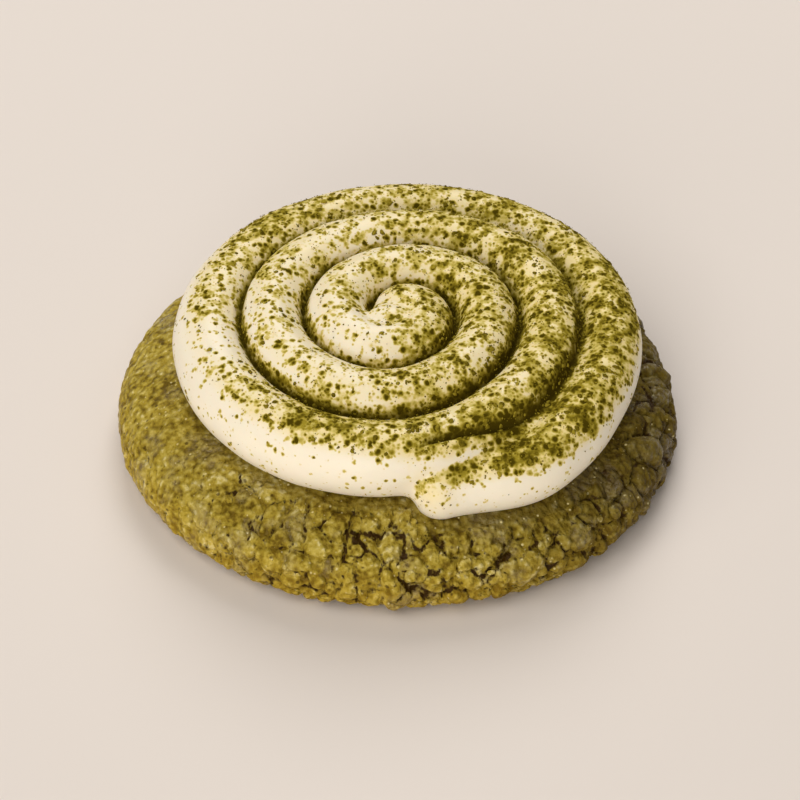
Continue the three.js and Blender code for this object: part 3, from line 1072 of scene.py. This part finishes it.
def rope_rings():
    """Cross-sections for every ring of the ball that becomes the rope, its ends rounded."""
    plain = ROPE_RINGS + 1 - 2 * CAP_RINGS
    fine = np.linspace(0, TURNS, 4000)
    line = rope_line(fine)[0]
    length = np.concatenate([[0], np.cumsum(np.linalg.norm(np.diff(line, axis=0), axis=1))])
    turns = np.interp(np.linspace(0, length[-1], plain), length, fine)
    bend = np.radians(np.linspace(90, 90 / CAP_RINGS, CAP_RINGS))
    turns = np.concatenate([np.zeros(CAP_RINGS), turns, np.full(CAP_RINGS, TURNS)])
    reach = np.concatenate([-np.sin(bend), np.zeros(plain), np.sin(bend[::-1])])
    share = np.concatenate([np.cos(bend), np.ones(plain), np.cos(bend[::-1])])
    swell = rope_line(turns)[2]
    return rope_stations(turns, reach * ROPE_WIDTH / 2 * swell, share)


def powder_share(points, normals):
    """Share of the cream that powder hides: most at the right, where it was sifted from, least at
    the left and front, on what faces up and to the right and in the grooves between turns."""
    angle = np.arctan2(points[:, 1], points[:, 0])
    radius = np.hypot(points[:, 0], points[:, 1])
    around = 0.62 + 0.17 * np.cos(angle - DENSEST_ANGLE) + 0.06 * np.cos(2 * angle + math.radians(125))
    around -= 0.12 * (1 - smoothstep(20 * MM, 42 * MM, radius))
    piled = 0
    for x, y, reach, more in PATCHES:
        near = np.exp(-(((points[:, 0] / MM - x) ** 2 + (points[:, 1] / MM - y) ** 2) / reach**2))
        around += more * near
        piled += max(more, 0) * near
    around = np.clip(around, 0, 1)
    facing = normals @ unit(np.array(SIFTED_FROM))
    reach = mix(1.8, 2.8, smoothstep(0, 0.6, normals[:, 0]) * around)
    groove = 1 - smoothstep(0.3 * MM, reach * MM, groove_gap(points))
    tip_patch = np.exp(-((np.linalg.norm(points - TIP_PATCH_PLACE, axis=1) / TIP_PATCH_REACH) ** 2))

    # The coil's outer flank stays bare, and inner flanks that face away catch powder as well
    outside = smoothstep(-5 * MM, 0, radius - outermost_radius(angle))
    easy = (1 - outside) * smoothstep(0.35, 0.65, around)
    fallen = around * smoothstep(0.42 - easy - piled, 0.82 - 0.6 * easy - 0.5 * piled, facing) + 0.02
    return np.maximum(np.maximum(fallen, (0.3 + 0.65 * around) * groove), 0.6 * tip_patch)


def noise_offset(share):
    """What to add to the shader's noise so that it passes its mean on that share of the surface.
    The powers come close to the quantile of a normal distribution."""
    share = np.clip(share, 0.002, 0.88)
    return NOISE_SPREAD * (share**0.135 - (1 - share) ** 0.135) / 0.1975


class COOKIE_OT_sift(bpy.types.Operator):
    """Sift matcha over the cream: the largest clumps, smaller ones and fine grains"""

    bl_idname = "cookie.sift"
    bl_label = "Sift matcha"

    def execute(self, context):
        sizes = context.scene.cookie_sizes
        chance = np.random.default_rng(5)
        cream = bpy.data.objects["piped_cream"]
        corners, normals, areas = corner_table(cream.data)
        local = corners - COIL_CENTRE
        share = powder_share(local, normals)
        clusters = np.array([noise.noise(p) for p in local / POWDER_CLUSTER])
        weight = areas * share**1.3 * np.clip(0.5 + 1.6 * clusters, 0.03, 1.6)
        powder = green_tea_powder(sizes)

        chosen = chance.choice(len(areas), sizes.small_clumps, p=weight / weight.sum(), replace=False)
        radii = mix(0.16 * MM, 0.5 * MM, chance.uniform(0, 1, len(chosen)) ** 2)
        large_places, large_normals, large_radii = largest_clumps()
        clumps = scatter_balls(
            "matcha_clumps",
            ball_points(subdivisions=2, roughness=0.6, variants=8, seed=1.7),
            np.concatenate([corners[chosen], large_places]),
            np.concatenate([normals[chosen], large_normals]),
            np.concatenate([radii, 0.55 * large_radii]),
            flatness=0.4,
            sink=0.3,
            chance=chance,
        )
        finish_piece(clumps, "matcha_clumps", powder, "piped_cream")

        weight = areas * share * np.clip(0.6 + 1.2 * clusters, 0.08, 1.4)
        fine = chance.choice(len(areas), sizes.grains, p=weight / weight.sum(), replace=True)
        grain_places = corners[fine] + chance.normal(0, 0.15 * MM, (len(fine), 3))
        grains = scatter_balls(
            "matcha_grains",
            ball_points(subdivisions=1, roughness=0.8, variants=6, seed=4.9),
            grain_places,
            normals[fine],
            mix(0.07 * MM, 0.18 * MM, chance.uniform(0, 1, len(fine)) ** 2),
            flatness=0.6,
            sink=0.3,
            chance=chance,
        )
        finish_piece(grains, "matcha_grains", powder, "piped_cream")

        # The cream's material reads how much powder lies there, how near a clump, and how deep the groove,
        # which it darkens partly with powder and partly with painted shade, wider on right-facing flanks at
        # the right
        write_values(cream.data, "dust", noise_offset(share))
        write_values(cream.data, "film", np.clip(share * 1.15, 0, 1))
        rightward = smoothstep(-0.2, 0.5, normals[:, 0]) * smoothstep(-10 * MM, 25 * MM, local[:, 0])
        filled = GROOVE_WIDTH * (1 + 0.4 * rightward)
        write_values(cream.data, "groove", np.maximum(1 - groove_gap(local) / filled, 0))
        write_values(cream.data, "stain", stain_near(local, local[chosen], radii))
        return {"FINISHED"}


def largest_clumps():
    """Places, normals and radii of the largest clumps, by the CAD part's rule."""
    places, normals, radii = [], [], []
    index = 0
    while len(places) < CLUMPS:
        turns = TURNS * (1 - math.sqrt(scatter(index, 1)))
        across = CLUMP_SPREAD * (2 * scatter(index, 2) - 1)
        centre, side, up = rope_stations(np.array([turns]))
        offset = side[0] * math.sin(across) + up[0] * math.cos(across)
        point = centre[0] + offset
        towards = math.cos(math.atan2(point[1], point[0]) - math.radians(-20))
        if scatter(index, 3) <= 0.45 + 0.55 * max(towards, 0):
            places.append(point + COIL_CENTRE)
            normals.append(unit(offset))
            radii.append(mix(*CLUMP_RADIUS, scatter(index, 4) ** 2))
        index += 1
    return np.array(places), np.array(normals), np.array(radii)


def stain_near(corners, places, radii):
    """How much each corner of the cream is stained by the clumps beside it, from 0 to 1."""
    columns = np.floor(places[:, :2] / STAIN_REACH).astype(int)
    homes = {}
    for i, key in enumerate(map(tuple, columns)):
        homes.setdefault(key, []).append(i)
    stain = np.zeros(len(corners))
    corner_columns = np.floor(corners[:, :2] / STAIN_REACH).astype(int)
    order = np.lexsort(corner_columns.T)
    ordered = corner_columns[order]
    starts = np.nonzero(np.any(np.diff(ordered, axis=0) != 0, axis=1))[0] + 1
    for group in np.split(order, starts):
        x, y = corner_columns[group[0]]
        near = [i for dx in (-1, 0, 1) for dy in (-1, 0, 1) for i in homes.get((x + dx, y + dy), ())]
        if near:
            away = np.linalg.norm(corners[group, None] - places[None, near], axis=2)
            stain[group] = np.sum(np.exp(-((away / (radii[near] * 1.5)) ** 2)), axis=1)
    return 1 - np.exp(-1.6 * stain)


class COOKIE_OT_stage(bpy.types.Operator):
    """Lay the paper, light it softly from the left front and set the camera"""

    bl_idname = "cookie.stage"
    bl_label = "Set stage"

    def execute(self, context):
        start_piece()
        bpy.ops.mesh.primitive_plane_add(size=6)
        paper = context.object
        paper.name = "paper"
        paper.data.materials.append(studio_paper())

        place_light("key_light", (-0.8, -0.7, 1.6), 1.8, 19, "#FFFAF4")
        place_light("back_light", (0.1, 1.0, 1.0), 0.8, 10.2, "#FFFCF8")
        place_light("front_fill", (-0.35, -1.6, 0.5), 1.0, 12, "#FFFAF4")

        world = bpy.data.worlds.new("soft_room")
        world.use_nodes = True
        background = world.node_tree.nodes["Background"]
        background.inputs["Color"].default_value = srgb("#F8F2EC")
        background.inputs["Strength"].default_value = 0.19
        context.scene.world = world
        context.scene.view_settings.view_transform = "Standard"

        camera = bpy.data.cameras.new("camera")
        camera.sensor_width = SENSOR_MM
        camera.lens = PIXELS_PER_MM * CAMERA_DISTANCE / MM * SENSOR_MM / PHOTO_PIXELS
        camera.shift_x = 0.5 - COIL_MIDDLE_PIXEL[0] / PHOTO_PIXELS
        camera.shift_y = COIL_MIDDLE_PIXEL[1] / PHOTO_PIXELS - 0.5
        back = Vector((0, -math.cos(CAMERA_ELEVATION), math.sin(CAMERA_ELEVATION)))
        seat = bpy.data.objects.new("camera", camera)
        seat.location = Vector(COIL_CENTRE) + Vector((0, 0, MIDDLE_HEIGHT)) + CAMERA_DISTANCE * back
        seat.rotation_euler = (math.pi / 2 - CAMERA_ELEVATION, 0, 0)
        context.scene.collection.objects.link(seat)
        context.scene.camera = seat
        return {"FINISHED"}


def place_light(name, place, size, power, colour):
    """A square softbox that faces the cookie."""
    light = bpy.data.lights.new(name, "AREA")
    light.size = size
    light.energy = power
    light.color = srgb(colour)[:3]
    stand = bpy.data.objects.new(name, light)
    stand.location = place
    stand.rotation_euler = (-Vector(place)).to_track_quat("-Z", "Y").to_euler()
    bpy.context.scene.collection.objects.link(stand)


# ---------------------------------------------------------------- panel and registration


class COOKIE_PT_panel(bpy.types.Panel):
    """Every step of the cookie, in order"""

    bl_idname = "COOKIE_PT_panel"
    bl_label = "Matcha cookie"
    bl_space_type = "VIEW_3D"
    bl_region_type = "UI"
    bl_category = "Cookie"

    def draw(self, context):
        for name in CookieSizes.__annotations__:
            self.layout.prop(context.scene.cookie_sizes, name)
        for step in STEPS:
            self.layout.operator(step.bl_idname)


STEPS = (COOKIE_OT_bake, COOKIE_OT_crumble, COOKIE_OT_pipe, COOKIE_OT_sift, COOKIE_OT_stage)
CLASSES = (CookieSizes, *STEPS, COOKIE_PT_panel)


def register():
    for made in CLASSES:
        bpy.utils.register_class(made)
    bpy.types.Scene.cookie_sizes = bpy.props.PointerProperty(type=CookieSizes)


def unregister():
    del bpy.types.Scene.cookie_sizes
    for made in reversed(CLASSES):
        bpy.utils.unregister_class(made)


def main():
    register()
    bpy.ops.cookie.bake()
    bpy.ops.cookie.crumble()
    bpy.ops.cookie.pipe()
    bpy.ops.cookie.sift()
    bpy.ops.cookie.stage()


if __name__ == "__main__":
    main()
